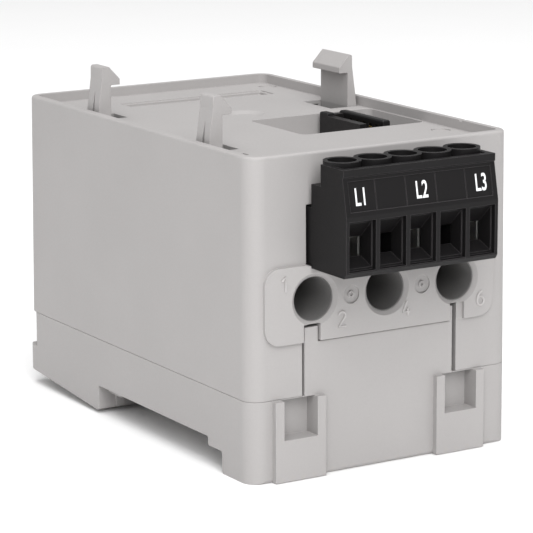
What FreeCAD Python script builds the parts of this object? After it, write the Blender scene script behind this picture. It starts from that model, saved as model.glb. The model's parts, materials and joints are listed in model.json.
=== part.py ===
"""Pass-through sensing relay base with a plug-in voltage terminal.

Millimetres. +X runs to the right along the terminal face, +Y away from it, +Z from the rail to the latches.
The origin is the centre of the seat for a 35 mm top-hat rail.
"""
import math
import os

import FreeCAD
import Part

from FreeCAD import Vector

# ---- Housing envelope ----
WIDTH = 45.0
HALF_W = WIDTH / 2
FRONT_Y = -26.7
BACK_Y = 42.5
SIDE_DRAFT = 0.2
BACK_DRAFT = 0.5
FOOT_Z = -3.3
SEAM_Z = 8.75
DECK_Z = 42.3
RIM_Z = 43.8
CORNER_R = 2.5
WALL = 1.8
RIM_WALL = 1.2
EDGE_R = 0.4
SEAM_EDGE_R = 0.15
FULL_X = (-HALF_W, HALF_W)
FULL_Y = (FRONT_Y, BACK_Y)
DEEP = 1.0    # how far a cutting shape runs past the face it opens

# ---- Base and rail recess, whose shoulders fit a 35 mm rail ----
BASE_BACK_Y = 41.7
FOOT_BACK_Y = 43.3
FOOT_STEP_Z = 3.2
FOOT_BACK_Z = -0.75
FOOT_HEEL_Z = -2.7
RECESS_HALF = 18.8
SHOULDER = 4.0
SHOULDER_X = 10.0
RELIEF_Z = 1.3
BASE_FLOOR_Z = RELIEF_Z + WALL
REAR_FLOOR_Z = 0.9
RAIL_FLANGE = 1.0
HOOK_GAP = 0.15
HOOK_REACH = 3.2
HOOK_T = 1.5
HOOK_HALF_W = 9.0
RIB_PITCH_X = 5.0
RIB_OUTER_X = 19.6
RIB_W = 1.5
LIP_GAP = 0.15
LIP_T = 1.0
LIP_H = 2.0

# ---- Rail clip ----
CLIP_HALF_W = 7.0
CLIP_GAP = 0.2
CLIP_Z = (-2.9, -1.15)
CLIP_BACK_Y = -18.2
CLIP_BODY_L = 3.6
CLIP_ROOM = 7.6
CLIP_NOSE_Y = -15.6
SPRING_WIRE = 0.35
SPRING_HALF_W = 5.0
SPRING_Z = (-2.3, -1.7)
SPRING_TURNS = 4
SPRING_GAP = 0.05

# ---- Conductor bores and the plate round them ----
BORE_PITCH = 12.2
BORE_MID_X = 0.2
BORE_Z = 22.75
BORE_R = 3.15
TUBE_R = 3.7
TUBE_GAP = 0.05
TUBE_FRONT_Y = FRONT_Y + 0.15
MOUTH_R = 3.85
MOUTH_INNER_R = 3.25
REAR_MOUTH = 0.5
PLATE_T = 0.5
PLATE_X = (-20.3, 19.0)
PLATE_TOP = 27.8
DISH_R = 1.35
DISH_DEPTH = 0.25
PIP_R = 0.5

# ---- Base tongue and foot sockets ----
TONGUE_X = (-13.88, 12.75)
TONGUE_TOP = 16.67
SEAM_GAPS = (0.41, 0.72)
TONGUE_TOP_GAP = 0.2
NOTCH_X = ((-13.88, -11.05), (11.3, 13.8))
NOTCH_TOP = 19.2
NOTCH_GAP = 0.5
PAD_X = (-14.65, 13.0)
PAD_W = 8.45
PAD_T = 1.0
PAD_INSET = 0.1
SOCKET_W = 5.6
SOCKET_Z = (2.9, 9.0)
SOCKET_DEPTH = 3.0

# ---- Latches ----
LATCH_TOP = 50.5
LATCH_INNER_X = 18.4
RIGHT_INNER_X = 19.05
LATCH_OUTER_X = 20.75
LATCH_TOP_X = 19.85
LATCH_ROOT = 1.3
LATCH_SIDE_GAP = 0.25
LATCH_INNER_GAP = 0.35
PIVOT_Z = DECK_Z - 0.9
HOOK_Z = 47.65
HOOK_TIP = 1.55
STUB_R = 0.45
STUB_GAP = 0.05
STUB_L = 1.0
SLOT_DEPTH = 2.4
CORE_SLOT = 3.3
RELIEF = 1.2
THIN_DECK = 0.6
LATCHES = {
    "rear_left_latch": {"side": -1, "y": 22.7, "width": 3.7, "inner": LATCH_INNER_X},
    "front_left_latch": {"side": -1, "y": -10.7, "width": 3.7, "inner": LATCH_INNER_X},
    "right_latch": {"side": 1, "y": 16.0, "width": 7.8, "inner": RIGHT_INNER_X},
}
NARROW_LATCH = 5.0

# ---- Deck ----
POCKET_X = (-1.0, 20.9)
POCKET_Y = (-6.6, 8.8)
POCKET_FLOOR_Z = 38.6
POCKET_WALL = 1.2
POCKET_R = 1.2
RAMP_END_X = 8.0
LABEL_X = (-9.8, 16.4)
LABEL_Y = (29.6, 34.0)
FINGER_MARK = (2.0, 15.0)
FINGER_R = 3.1
EJECTOR_R = 1.5
EJECTOR_MARKS = ((19.3, 36.6), (18.6, -14.0))
DRAIN_X = (-17.1, -16.3)
DRAIN_Y = (-16.6, -14.8)
SPLIT_Y = (-15.9, -15.2)

# ---- Circuit board ----
BOARD_Z = 34.6
BOARD_T = 1.6
BOARD_TOP = BOARD_Z + BOARD_T
BOARD_X = 19.8
BOARD_Y = (-15.8, 39.6)
BOARD_SCREW_X = 16.2
BOARD_SCREW_Y = (-13.8, 36.4)
BOARD_SCREW_R = 1.0
BOARD_SCREW_L = 5.0
POST_R = 2.2

CHIP_PLACE = (-5.5, 16.0)
CHIP_W = 9.0
LEAD_L = 1.0
LEAD_PITCH = 1.0
LEADS_A_SIDE = 8
SIGNAL_CHIP_PLACES = ((6.0, 20.5), (6.0, 14.0), (-8.0, 6.0))
CAN_PLACES = ((-14.0, 30.0), (-7.0, 30.5), (13.5, 29.0))
CAN_R = 2.0
CAN_H = 3.9
RESISTOR = (1.6, 3.2, 0.7)
RESISTOR_PITCH = 3.6
RESISTOR_ROWS = 3

# ---- Connector in the pocket ----
LINK_X = (11.2, 16.1)
LINK_Y = (-4.2, 7.9)
LINK_TOP = DECK_Z
LINK_WALL = 1.25
LINK_POST_L = 2.2
LINK_POST_H = 0.5
LINK_STEP_H = 0.4
LINK_PITCH = 1.8
LINK_WAYS = 5

# ---- Current sensors ----
CORE_Y = {"left": 21.0, "middle": 7.0, "right": 21.0}
CORE_W = 6.0
CORE_R = (5.0, 7.2)
WINDING_T = 0.9
GROUND_Y = (-9.0, -4.0)
GROUND_REACH = (4.6, 6.6)
GROUND_COIL_L = 9.0
PIN_R = 0.35
CARRIER_Y = (29.6, 31.4)
CARRIER_X = 19.3

# ---- Terminal plug ----
POLE_PITCH = 5.08
POLES = 5
WIRED_POLES = (-2, 0, 2)
PLUG_W = 25.7
PLUG_FRONT_Y = -36.5
PLUG_BOTTOM = 27.4
PLUG_TOP = 42.6
SLANT_Z = (36.1, 41.4)
SLANT_RUN = 1.05
PANEL_Z = (36.7, 40.9)
PANEL_DEPTH = 0.15
PANEL_MARGIN = 0.8
NOSE_Z = (27.95, 36.1)
NOSE_BACK_Y = -18.8
COLLAR_R = 2.69
COLLAR_H = 0.6
SCREW_Y = -31.2
SCREW_R = 1.25
HEAD_R = 1.85
HEAD_Z = 37.95
HEAD_H = 1.6
WELL_R = 2.1
WELL_FLOOR_Z = 37.9
OPENING_W = 4.4
OPENING_Z = (28.3, 35.4)
THROAT_W = 3.3
THROAT_Z = (30.0, 32.3)
CHAMBER_W = 4.1
CHAMBER_Y = (-33.4, -28.9)
CHAMBER_Z = (28.6, 37.1)
BAR_Z = 32.3
BAR_T = 0.7
BAR_W = 2.2
SLEEVE_W = 1.9
WIRE_Z = 32.0
CAGE_W = 3.8
CAGE_Y = (-32.9, -29.4)
CAGE_REST_Z = 28.8
CAGE_H = 6.2
CAGE_T = 0.35
CAGE_TOP_T = 1.2

# ---- Plug header ----
HEADER_Y = (FRONT_Y + WALL + 0.1, -17.0)
HEADER_WALL = 0.85
HEADER_BACK_T = 1.2
HEADER_TAIL_Y = -12.0
PIN = 1.0

X_AXIS = Vector(1, 0, 0)
Y_AXIS = Vector(0, 1, 0)
Z_AXIS = Vector(0, 0, 1)
PLANES = {
    "xy": (lambda u, v, w: Vector(u, v, w), Z_AXIS),
    "yz": (lambda u, v, w: Vector(w, u, v), X_AXIS),
    "xz": (lambda u, v, w: Vector(u, w, v), Y_AXIS),
}


# ---- Shape helpers ----
def box(x, y, z):
    """A block between three (low, high) pairs."""
    return Part.makeBox(x[1] - x[0], y[1] - y[0], z[1] - z[0], Vector(x[0], y[0], z[0]))


def rod(radius, start, axis, length):
    return Part.makeCylinder(radius, length, Vector(*start), axis)


def ring(outer, inner, start, axis, length):
    return rod(outer, start, axis, length).cut(rod(inner, start, axis, length))


def about(middle, size):
    """The (low, high) pair of a stretch centred on middle."""
    return (middle - size / 2, middle + size / 2)


def outline(points, plane, level):
    """A closed wire through (u, v, corner radius) points."""
    place = PLANES[plane][0]
    count = len(points)
    starts = []
    ends = []
    middles = []
    for i, (u, v, radius) in enumerate(points):
        corner = Vector(u, v, 0)
        back = Vector(points[i - 1][0], points[i - 1][1], 0).sub(corner).normalize()
        ahead = Vector(points[(i + 1) % count][0], points[(i + 1) % count][1], 0).sub(corner).normalize()
        half = back.getAngle(ahead) / 2
        reach = radius / math.tan(half)
        bisector = back.add(ahead).normalize() if radius else Vector(0, 0, 0)
        starts.append(corner.add(back * reach))
        ends.append(corner.add(ahead * reach))
        middles.append(corner.add(bisector * (radius / math.sin(half) - radius)))
    edges = []
    for i in range(count):
        start, middle, end = (place(p.x, p.y, level) for p in (starts[i], middles[i], ends[i]))
        following = starts[(i + 1) % count]
        following = place(following.x, following.y, level)
        if points[i][2]:
            edges.append(Part.Arc(start, middle, end).toShape())
        if end.distanceToPoint(following) > 1e-6:
            edges.append(Part.LineSegment(end, following).toShape())
    return Part.Wire(edges)


def prism(points, plane, low, high):
    """An outline extruded between two levels of the plane's normal."""
    axis = PLANES[plane][1]
    return Part.Face(outline(points, plane, low)).extrude(axis * (high - low))


def rectangle(u, v, radius):
    return [(u[0], v[0], radius), (u[1], v[0], radius), (u[1], v[1], radius), (u[0], v[1], radius)]


def shrunk(pair, amount):
    return (pair[0] + amount, pair[1] - amount)


def joined(shapes):
    """One solid from touching shapes."""
    return shapes[0].multiFuse(shapes[1:]).removeSplitter() if len(shapes) > 1 else shapes[0]


def rounded_edges(shape, radius, chosen):
    return shape.makeFillet(radius, [edge for edge in shape.Edges if chosen(edge.BoundBox)])


def at_level(z):
    return lambda b: abs(b.ZMin - z) < 1e-4 and abs(b.ZMax - z) < 1e-4


def bore_centres():
    return [BORE_MID_X + step * BORE_PITCH for step in (-1, 0, 1)]


def pole_x(step):
    return step * POLE_PITCH


# ---- Upper housing ----
def raised_plate():
    """The number plate round the bores, with a notch over each seam and a flared mouth for each bore."""
    root = FRONT_Y + 2 * SIDE_DRAFT
    face = FRONT_Y - PLATE_T
    plate = prism(rectangle(PLATE_X, (TONGUE_TOP, PLATE_TOP), CORNER_R), "xz", face, root)
    notches = [box(x, (face - DEEP, FRONT_Y), (TONGUE_TOP - DEEP, NOTCH_TOP)) for x in NOTCH_X]
    return plate.cut(notches)


def dished_boss(x):
    """A shallow dish in the plate with a small ring standing in it."""
    face = FRONT_Y - PLATE_T
    dish = rod(DISH_R, (x, face, BORE_Z), Y_AXIS, DISH_DEPTH)
    pip = ring(PIP_R, PIP_R / 2, (x, face + DISH_DEPTH / 5, BORE_Z), Y_AXIS, DISH_DEPTH)
    return dish.cut(pip)


def latch_opening(latch):
    """The slot that a latch stands in, the core slot under its hook and its two pivot bores."""
    side = latch["side"]
    inner = latch["inner"]
    z = (DECK_Z - SLOT_DEPTH, DECK_Z)
    y = about(latch["y"], latch["width"] + 2 * LATCH_SIDE_GAP)
    slot = box(sorted((side * (inner - LATCH_INNER_GAP), side * (LATCH_OUTER_X + LATCH_SIDE_GAP))), y, z)
    core_y = (latch["y"] - 1.0, latch["y"] + 3.5) if latch["width"] < NARROW_LATCH else y
    core = box(sorted((side * (inner - CORE_SLOT), side * inner)), core_y, z)
    thin_x = sorted((side * (inner - CORE_SLOT - RELIEF), side * (inner - LATCH_INNER_GAP)))
    thin = box(thin_x, shrunk(core_y, -RELIEF), (z[0], DECK_Z - THIN_DECK))
    pivot_x = side * (inner + LATCH_OUTER_X) / 2
    bore = rod(STUB_R + STUB_GAP, (pivot_x, y[0] - STUB_L, PIVOT_Z), Y_AXIS, y[1] - y[0] + 2 * STUB_L)
    return slot.multiFuse([core, thin, bore])


def deck_pocket():
    """The pocket round the link connector, with a ramp down from its left end and rounded corners."""
    points = [
        (POCKET_X[0], DECK_Z, 0),
        (RAMP_END_X, POCKET_FLOOR_Z, 0),
        (POCKET_X[1], POCKET_FLOOR_Z, 0),
        (POCKET_X[1], RIM_Z, 0),
        (POCKET_X[0], RIM_Z, 0),
    ]
    corners = prism(rectangle(POCKET_X, POCKET_Y, POCKET_R), "xy", POCKET_FLOOR_Z - DEEP, RIM_Z + DEEP)
    pocket = prism(points, "xz", POCKET_Y[0], POCKET_Y[1]).common(corners)
    room = -0.4
    return pocket.fuse(box(shrunk(LINK_X, room), shrunk(LINK_Y, room), (BOARD_TOP, RIM_Z)))


def pocket_floor():
    """The solid block below the deck that the pocket is cut into."""
    floor_z = POCKET_FLOOR_Z - POCKET_WALL
    points = [
        (POCKET_X[0] - POCKET_WALL, DECK_Z - WALL, 0),
        ((POCKET_X[0] + RAMP_END_X) / 2, floor_z, 0),
        (HALF_W - WALL, floor_z, 0),
        (HALF_W - WALL, DECK_Z - WALL, 0),
    ]
    return prism(points, "xz", POCKET_Y[0] - POCKET_WALL, POCKET_Y[1] + POCKET_WALL)


def deck_marks():
    """Stepped label recess, finger mark, ejector marks and the small drain hole in the deck."""
    shallow = 0.2
    step = 0.55
    inner = rectangle(shrunk(LABEL_X, step), shrunk(LABEL_Y, step), step / 2)
    rim = prism(rectangle(LABEL_X, LABEL_Y, step), "xy", DECK_Z - shallow, RIM_Z)
    well = prism(inner, "xy", DECK_Z - 3 * shallow, RIM_Z)
    dish_floor = Vector(*FINGER_MARK, DECK_Z - 2 * shallow)
    dish = Part.makeCone(0.6 * FINGER_R, FINGER_R, 2 * shallow, dish_floor, Z_AXIS)
    marks = [rim, well, dish]
    marks += [rod(EJECTOR_R, (x, y, DECK_Z - shallow), Z_AXIS, DEEP) for x, y in EJECTOR_MARKS]
    marks.append(box(DRAIN_X, DRAIN_Y, (DECK_Z - POCKET_WALL, RIM_Z)))
    return marks


def board_posts():
    posts = []
    for x, y in board_screw_places():
        post = rod(POST_R, (x, y, BOARD_TOP), Z_AXIS, DECK_Z - WALL / 2 - BOARD_TOP)
        posts.append(post.cut(rod(BOARD_SCREW_R + TUBE_GAP, (x, y, BOARD_Z), Z_AXIS, BOARD_SCREW_L)))
    return posts


def board_screw_places():
    return [(x, y) for x in (-BOARD_SCREW_X, BOARD_SCREW_X) for y in BOARD_SCREW_Y]


def drafted_block():
    """The outer block, a little narrower at the rim than at the seam."""
    seam = outline(rectangle(FULL_X, FULL_Y, CORNER_R), "xy", SEAM_Z)
    rim_y = (FRONT_Y + SIDE_DRAFT, BACK_Y - BACK_DRAFT)
    rim = outline(rectangle(shrunk(FULL_X, SIDE_DRAFT), rim_y, CORNER_R), "xy", RIM_Z)
    return Part.makeLoft([seam, rim], True, True)


def upper_housing():
    body = drafted_block()
    body = rounded_edges(body, EDGE_R, at_level(RIM_Z))
    body = rounded_edges(body, SEAM_EDGE_R, at_level(SEAM_Z))
    inside_y = (FRONT_Y + WALL, BACK_Y - BACK_DRAFT - WALL)
    inside = prism(rectangle(shrunk(FULL_X, WALL), inside_y, CORNER_R - WALL), "xy", SEAM_Z, DECK_Z - WALL)
    recess_x = shrunk(FULL_X, SIDE_DRAFT + RIM_WALL)
    recess_y = (FRONT_Y + SIDE_DRAFT + RIM_WALL, BACK_Y - BACK_DRAFT - RIM_WALL)
    recess = prism(rectangle(recess_x, recess_y, CORNER_R - RIM_WALL), "xy", DECK_Z, RIM_Z)
    body = body.cut(inside).cut(recess)
    body = body.multiFuse([raised_plate(), pocket_floor()] + board_posts())
    cuts = [deck_pocket(), header_opening()] + tongue_openings()
    cuts += [latch_opening(latch) for latch in LATCHES.values()]
    cuts += [dished_boss(x) for x in (BORE_MID_X - BORE_PITCH / 2, BORE_MID_X + BORE_PITCH / 2)]
    cuts += [tube_hole(x) for x in bore_centres()]
    cuts += deck_marks()
    cuts.append(box((HALF_W - 2 * RIM_WALL, HALF_W), SPLIT_Y, (RIM_Z - SIDE_DRAFT, RIM_Z + DEEP)))
    return body.cut(cuts)


def tube_hole(x):
    """The hole for a tube, closed to a flared lip at the front."""
    face = FRONT_Y - PLATE_T
    lip_l = TUBE_FRONT_Y - TUBE_GAP - face
    through = rod(TUBE_R + TUBE_GAP, (x, face + lip_l, BORE_Z), Y_AXIS, BACK_Y - FRONT_Y + DEEP)
    return through.fuse(Part.makeCone(MOUTH_R, MOUTH_INNER_R, lip_l, Vector(x, face, BORE_Z), Y_AXIS))


def header_opening():
    room = -0.3
    return box(about(0, PLUG_W - 2 * room), (FRONT_Y - DEEP, FRONT_Y + WALL), shrunk(NOSE_Z, room))


def tongue_openings():
    """The opening for the base's tongue, which runs up into both notches."""
    y = (FRONT_Y - 0.001, FRONT_Y + WALL)
    openings = [box(TONGUE_X, y, (SEAM_Z - DEEP, TONGUE_TOP))]
    openings += [box(finger_x(notch), y, (TONGUE_TOP - DEEP, NOTCH_TOP)) for notch in NOTCH_X]
    return openings


def finger_x(notch):
    """The part of a notch that lies over the tongue's opening."""
    return (max(notch[0], TONGUE_X[0]), min(notch[1], TONGUE_X[1]))


# ---- Base housing ----
def base_profile():
    """Side outline of the base: front foot, rail recess, rear foot and stepped back."""
    return [
        (FRONT_Y, SEAM_Z, 0),
        (FRONT_Y, FOOT_Z, 0.5),
        (-RECESS_HALF, FOOT_Z, 0.5),
        (-RECESS_HALF, 0, 0.5),
        (-RECESS_HALF + SHOULDER, 0, 0.3),
        (-RECESS_HALF + SHOULDER, RELIEF_Z, 0.3),
        (RECESS_HALF, RELIEF_Z, 0.3),
        (RECESS_HALF, FOOT_HEEL_Z, 0.5),
        (FOOT_BACK_Y, FOOT_BACK_Z, 0.8),
        (FOOT_BACK_Y, FOOT_STEP_Z, 0.8),
        (BASE_BACK_Y, FOOT_STEP_Z, 0),
        (BASE_BACK_Y, SEAM_Z, 0),
    ]


def base_cavity():
    inside_x = shrunk(FULL_X, WALL)
    main = box(inside_x, (FRONT_Y + WALL, BASE_BACK_Y - WALL), (BASE_FLOOR_Z, SEAM_Z + DEEP))
    rear_y = (RECESS_HALF + 2 * WALL, BASE_BACK_Y - WALL)
    return main.fuse(box(inside_x, rear_y, (REAR_FLOOR_Z, BASE_FLOOR_Z)))


def locating_lip():
    """The thin wall that rises from the base inside the upper housing."""
    outer_x = shrunk(FULL_X, WALL + LIP_GAP)
    outer_y = (FRONT_Y + WALL + LIP_GAP, BACK_Y - BACK_DRAFT - WALL - LIP_GAP)
    outer = prism(rectangle(outer_x, outer_y, LIP_T / 2), "xy", SEAM_Z - LIP_H, SEAM_Z + LIP_H)
    return outer.cut(box(shrunk(outer_x, LIP_T), shrunk(outer_y, LIP_T), about(SEAM_Z, 2 * (LIP_H + DEEP))))


def front_tongue():
    """The tongue that closes the cover's front, with a finger up into each notch."""
    x = (TONGUE_X[0] + SEAM_GAPS[0], TONGUE_X[1] - SEAM_GAPS[1])
    y = (FRONT_Y, FRONT_Y + WALL)
    pieces = [box(x, y, (SEAM_Z - DEEP, TONGUE_TOP - TONGUE_TOP_GAP))]
    for notch in NOTCH_X:
        finger = shrunk(finger_x(notch), TONGUE_TOP_GAP)
        across = (max(finger[0], x[0]), min(finger[1], x[1]))
        pieces.append(box(across, y, (TONGUE_TOP - DEEP, NOTCH_TOP - NOTCH_GAP)))
    return joined(pieces)


def foot_socket_pad(x):
    """A raised U-shaped pad round a pocket that is open at the seam."""
    top = SEAM_Z - PAD_INSET
    pad = box(about(x, PAD_W), (FRONT_Y - PAD_T, FRONT_Y), (FOOT_Z + PAD_INSET, top))
    backing = box(about(x, PAD_W), (FRONT_Y, FRONT_Y + 2 * WALL), (SOCKET_Z[0] - WALL, top))
    return pad.fuse(backing)


def foot_socket(x):
    face = FRONT_Y - PAD_T
    return box(about(x, SOCKET_W), (face - DEEP, face + SOCKET_DEPTH), (SOCKET_Z[0], SEAM_Z - PAD_INSET))


def rail_shoulder(side):
    """The rear seat for the rail flange, beside the fixed hook."""
    x = sorted((side * SHOULDER_X, side * (HALF_W - WALL)))
    return box(x, (RECESS_HALF - SHOULDER, RECESS_HALF + WALL), (0, RELIEF_Z + EDGE_R))


def fixed_hook():
    """The hook on the rear foot that the rail's rear edge goes under."""
    top = -RAIL_FLANGE - HOOK_GAP
    wall_y = RECESS_HALF + WALL
    points = [
        (wall_y, top, 0),
        (RECESS_HALF - HOOK_REACH, top, 0.2),
        (RECESS_HALF - HOOK_REACH + 0.5, top - HOOK_T + 0.5, 0.3),
        (RECESS_HALF, top - HOOK_T, 0),
        (wall_y, top - HOOK_T, 0),
    ]
    return prism(points, "yz", -HOOK_HALF_W, HOOK_HALF_W)


def rear_foot_ribs():
    """Ribs down the rear foot's inner wall, in pairs at both sides."""
    ribs = []
    for side in (-1, 1):
        for step in (0, 1):
            near = RIB_OUTER_X - step * RIB_PITCH_X
            x = sorted((side * near, side * (near - RIB_W)))
            ribs.append(box(x, about(RECESS_HALF, WALL / 2), (FOOT_HEEL_Z + EDGE_R, RELIEF_Z + EDGE_R)))
    return ribs


def clip_channel():
    """The channel in the front foot that the rail clip slides in."""
    half = CLIP_HALF_W + CLIP_GAP
    return box((-half, half), (CLIP_BACK_Y - CLIP_ROOM, -RECESS_HALF + DEEP), shrunk(CLIP_Z, -CLIP_GAP))


def base_corners():
    """Rounds the four upright corners of the base, the rear ones in two steps."""
    lower = prism(rectangle(FULL_X, (FRONT_Y, FOOT_BACK_Y), CORNER_R), "xy", FOOT_Z - DEEP, FOOT_STEP_Z)
    upper = prism(rectangle(FULL_X, (FRONT_Y, BASE_BACK_Y), CORNER_R), "xy", FOOT_STEP_Z, SEAM_Z + DEEP)
    return lower.fuse(upper)


def base_housing():
    body = prism(base_profile(), "yz", -HALF_W, HALF_W)
    body = body.common(base_corners()).cut(base_cavity())
    body = body.multiFuse([locating_lip(), front_tongue()] + [foot_socket_pad(x) for x in PAD_X])
    body = body.multiFuse([rail_shoulder(-1), rail_shoulder(1), fixed_hook()] + rear_foot_ribs())
    body = body.cut([foot_socket(x) for x in PAD_X] + [clip_channel()])
    return body.removeSplitter()


# ---- Rail clip ----
def rail_clip():
    """The sprung slider that holds the rail's front edge."""
    slide = box((-CLIP_HALF_W, CLIP_HALF_W), (CLIP_BACK_Y - CLIP_BODY_L, CLIP_BACK_Y), CLIP_Z)
    nose_points = [
        (CLIP_BACK_Y, CLIP_Z[1], 0),
        (CLIP_BACK_Y, CLIP_Z[0], 0),
        (CLIP_NOSE_Y - 0.6, CLIP_Z[0] + 0.7, 0.3),
        (CLIP_NOSE_Y, CLIP_Z[1] - 0.3, 0.1),
        (CLIP_NOSE_Y, CLIP_Z[1], 0),
    ]
    nose = prism(nose_points, "yz", -CLIP_HALF_W, CLIP_HALF_W)
    pry_slot = box((-2.2, 2.2), (CLIP_BACK_Y - 2.2, CLIP_BACK_Y - 1.0), (CLIP_Z[0] - 1, CLIP_Z[0] + 1.0))
    return slide.fuse(nose).cut(pry_slot).removeSplitter()


def clip_spring():
    """A flat zigzag spring between the front foot and the clip."""
    start = CLIP_BACK_Y - CLIP_BODY_L
    end = CLIP_BACK_Y - CLIP_ROOM
    step = (start - end - 2 * SPRING_GAP) / SPRING_TURNS
    leaves = []
    for i in range(SPRING_TURNS):
        y = end + SPRING_GAP + i * step
        leaves.append(box((-SPRING_HALF_W, SPRING_HALF_W), (y, y + SPRING_WIRE), SPRING_Z))
        side = 1 if i % 2 else -1
        x = sorted((side * SPRING_HALF_W, side * (SPRING_HALF_W - SPRING_WIRE)))
        turn_l = step if i == SPRING_TURNS - 1 else step + SPRING_WIRE
        leaves.append(box(x, (y, y + turn_l), SPRING_Z))
    return joined(leaves)


# ---- Snap latches ----
def latch(side, y, width, inner):
    """A hooked arm, standing on stub pivots in the deck."""
    outer = LATCH_OUTER_X
    points = [
        (side * (inner + 0.3), PIVOT_Z - LATCH_ROOT, 0.3),
        (side * inner, DECK_Z, 0),
        (side * inner, HOOK_Z, 0.2),
        (side * (inner - HOOK_TIP), HOOK_Z, 0.1),
        (side * (inner - HOOK_TIP), HOOK_Z + 0.9, 0.3),
        (side * (inner + 0.3), LATCH_TOP, 0.2),
        (side * LATCH_TOP_X, LATCH_TOP, 0.4),
        (side * (LATCH_TOP_X + 0.05), LATCH_TOP - 2.0, 0),
        (side * outer, DECK_Z, 0),
        (side * (outer - 0.4), PIVOT_Z - LATCH_ROOT, 0.3),
    ]
    span = about(y, width)
    arm = prism(points, "xz", span[0], span[1])
    pivot_x = side * (inner + outer) / 2
    stub_reach = LATCH_SIDE_GAP + STUB_L - 0.15
    stubs = rod(STUB_R, (pivot_x, span[0] - stub_reach, PIVOT_Z), Y_AXIS, width + 2 * stub_reach)
    arm = arm.fuse(stubs)
    if width < NARROW_LATCH:
        arm = arm.cut(tapered_groove(side, y, outer))
    return arm.removeSplitter()


def tapered_groove(side, y, outer):
    """The groove up a narrow latch's outer face, which runs out to a point."""
    low = DECK_Z - 0.5
    high = DECK_Z + 4.6
    mouth = 0.6
    face = [(y - mouth, low, 0), (y + mouth, low, 0), (y, high, 0)]
    x = sorted((side * (outer - 1.1), side * (outer + 1.0)))
    return prism(face, "yz", x[0], x[1])


# ---- Bores and current sensors ----
def conductor_tube(x):
    """A tube through the whole housing, from the flared lip to a flare of its own at the back."""
    back = BACK_Y - BACK_DRAFT / 2
    tube = ring(TUBE_R, BORE_R, (x, TUBE_FRONT_Y, BORE_Z), Y_AXIS, back - TUBE_FRONT_Y)
    start = Vector(x, back - REAR_MOUTH, BORE_Z)
    return tube.cut(Part.makeCone(BORE_R, (BORE_R + 2 * TUBE_R) / 3, REAR_MOUTH, start, Y_AXIS))


def current_core(x, y):
    return ring(CORE_R[1], CORE_R[0], (x, y, BORE_Z), Y_AXIS, CORE_W)


def current_winding(x, y):
    """A coil wound over the core, modelled as the sleeve that its turns fill."""
    start = (x, y - WINDING_T, BORE_Z)
    outer = ring(CORE_R[1] + WINDING_T, CORE_R[0] - WINDING_T, start, Y_AXIS, CORE_W + 2 * WINDING_T)
    outer = rounded_edges(outer, 0.6, lambda b: b.YLength < 1e-6)
    return outer.cut(current_core(x, y))


def oblong(reach, y):
    """A long round-ended block that reaches the same distance past all three bores."""
    points = rectangle(about(BORE_MID_X, 2 * (BORE_PITCH + reach)), about(BORE_Z, 2 * reach), reach - 0.05)
    return prism(points, "xz", y[0], y[1])


def ground_fault_core():
    inner, outer = GROUND_REACH
    return oblong(outer, GROUND_Y).cut(oblong(inner, GROUND_Y))


def ground_fault_winding():
    """Two coils on the straight runs of the oblong core."""
    wire = 0.6
    coils = []
    for step in (-0.5, 0.5):
        x = about(BORE_MID_X + step * BORE_PITCH, GROUND_COIL_L)
        core_z = (BORE_Z + GROUND_REACH[0], BORE_Z + GROUND_REACH[1])
        coil = box(x, shrunk(GROUND_Y, -wire), shrunk(core_z, -wire))
        coils.append(coil.cut(box(x, GROUND_Y, core_z)))
    return Part.makeCompound(coils)


def sensor_carrier():
    """The upright frame that the tubes and cores hang on, on a foot that stands in the base."""
    foot_y = (24.0, CARRIER_Y[1])
    window_w = 8.0
    window_z = (7.0, 15.0)
    plate = prism(rectangle((-CARRIER_X, CARRIER_X), (BASE_FLOOR_Z, BOARD_Z - WALL), 1.5), "xz", *CARRIER_Y)
    foot = box((-18.0, 18.0), foot_y, (REAR_FLOOR_Z + 0.2, BASE_FLOOR_Z + 1.4))
    through = (CARRIER_Y[0] - DEEP, CARRIER_Y[1] + DEEP)
    through_l = through[1] - through[0]
    holes = [rod(TUBE_R + TUBE_GAP, (x, through[0], BORE_Z), Y_AXIS, through_l) for x in bore_centres()]
    windows = [box(about(x, window_w), through, window_z) for x in bore_centres()]
    return plate.fuse(foot).cut(holes + windows).removeSplitter()


def winding_pins():
    """Two board pins on each current sensor."""
    pins = []
    for side, x in zip(("left", "middle", "right"), bore_centres()):
        for offset in (-2.0, 2.0):
            nearest = abs(offset) - PIN_R
            low = BORE_Z + math.sqrt((CORE_R[1] + WINDING_T) ** 2 - nearest ** 2)
            pin = rod(PIN_R, (x + offset, CORE_Y[side] + CORE_W / 2, low), Z_AXIS, BOARD_TOP + 0.8 - low)
            pins.append(pin)
    return Part.makeCompound(pins)


# ---- Electronics ----
def main_board():
    points = rectangle((-BOARD_X, BOARD_X), BOARD_Y, 1.5)
    board = prism(points, "xy", BOARD_Z, BOARD_TOP)
    holes = [rod(BOARD_SCREW_R + 0.15, (x, y, BOARD_Z - 1), Z_AXIS, 4) for x, y in board_screw_places()]
    holes += [grown_pin_hole(pin) for pin in winding_pins().Solids]
    holes += [rod(0.65, (pole_x(step), HEADER_TAIL_Y, BOARD_Z - 1), Z_AXIS, 4) for step in WIRED_POLES]
    return board.cut(holes)


def grown_pin_hole(pin):
    centre = pin.CenterOfMass
    return rod(PIN_R + 0.1, (centre.x, centre.y, BOARD_Z - DEEP), Z_AXIS, BOARD_T + 2 * DEEP)


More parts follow.
